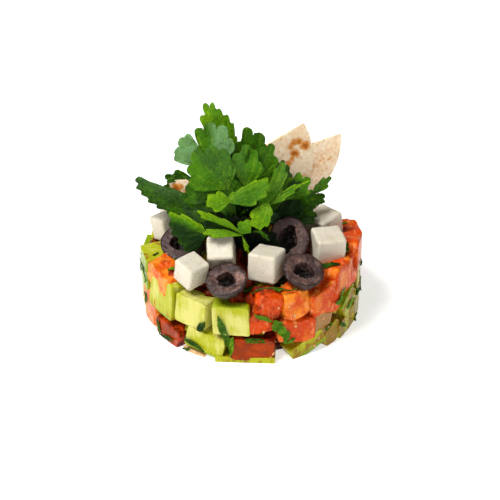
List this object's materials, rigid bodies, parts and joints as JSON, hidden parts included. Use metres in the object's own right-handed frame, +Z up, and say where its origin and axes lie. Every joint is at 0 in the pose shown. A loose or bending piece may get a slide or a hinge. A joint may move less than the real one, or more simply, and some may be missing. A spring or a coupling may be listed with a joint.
{
  "type": "greek salad",
  "caption": "Ring-moulded drum of diced tomato and cucumber topped with feta cubes, black olive halves, flatbread wedges and a tuft of flat-leaf parsley.",
  "frame": {"origin": "centre of the drum's flat underside", "axes": "+Z up, -Y towards the front, +X to the right-hand side seen from the front"},
  "size_m": [0.0979, 0.0971, 0.0921],
  "materials": {
    "diced_vegetables": "wet diced tomato and cucumber with chopped herbs",
    "feta": "matt off-white cheese with fine pores",
    "black_olive": "glossy wrinkled skin over dark purple-brown flesh",
    "flatbread": "dry cream bread with toasted spots",
    "parsley": "fresh green leaves with a soft sheen"
  },
  "bodies": {
    "root": {"feta_cube_01": "feta", "feta_cube_02": "feta", "feta_cube_03": "feta", "feta_cube_04": "feta", "feta_cube_05": "feta", "feta_cube_06": "feta", "feta_cube_07": "feta", "feta_cube_08": "feta", "feta_cube_09": "feta", "flatbread_wedge_01": "flatbread", "flatbread_wedge_02": "flatbread", "flatbread_wedge_03": "flatbread", "olive_half_01": "black_olive", "olive_half_02": "black_olive", "olive_half_03": "black_olive", "olive_half_04": "black_olive", "olive_half_05": "black_olive", "olive_half_06": "black_olive", "parsley_sprig_01": "parsley", "parsley_sprig_02": "parsley", "parsley_sprig_03": "parsley", "parsley_sprig_04": "parsley", "parsley_sprig_05": "parsley", "parsley_sprig_06": "parsley", "parsley_sprig_07": "parsley", "salad_base": "diced_vegetables"}
  },
  "joints": []
}
